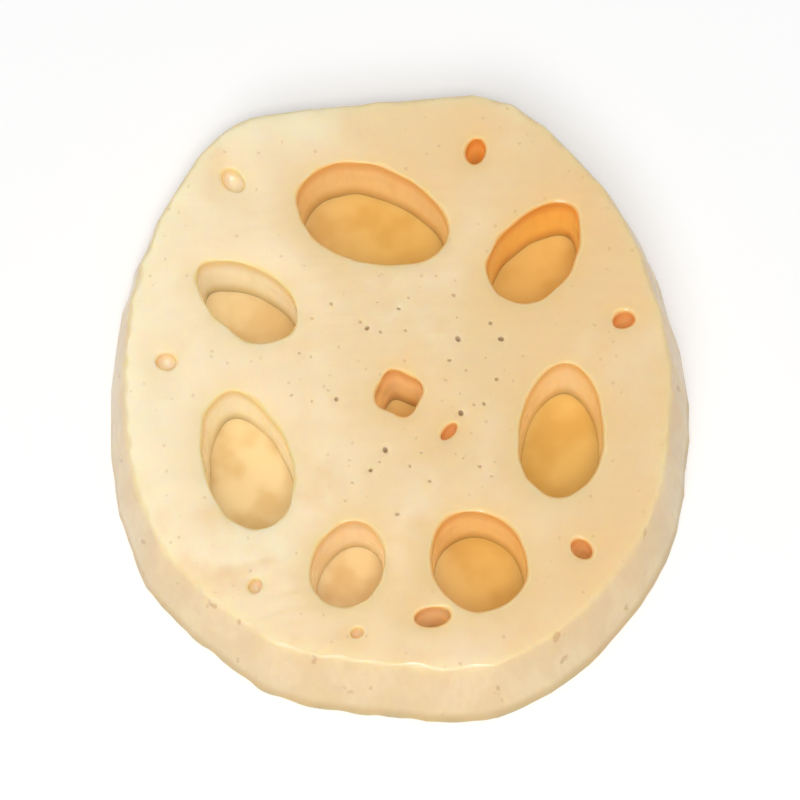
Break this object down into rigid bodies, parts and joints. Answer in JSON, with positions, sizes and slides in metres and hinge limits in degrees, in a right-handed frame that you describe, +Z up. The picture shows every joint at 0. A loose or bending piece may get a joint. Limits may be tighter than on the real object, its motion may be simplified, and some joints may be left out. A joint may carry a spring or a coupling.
{
  "type": "lotus root slice",
  "caption": "Round slice of peeled lotus root with a ring of oval air channels, small side channels and peeler-cut edges, lying flat.",
  "frame": {"origin": "middle of the slice's outline, on the surface that its lower cut face rests on", "axes": "+Z up through the slice's thickness, along the root; +Y across the slice towards its widest air channel, close to the line about which the channels mirror each other"},
  "size_m": [0.074, 0.0808, 0.01],
  "materials": {
    "flesh": "wet, slightly translucent ivory flesh with a soft gloss, amber inside the channels"
  },
  "bodies": {
    "root": {"lotus_root_slice": "flesh"}
  },
  "joints": []
}
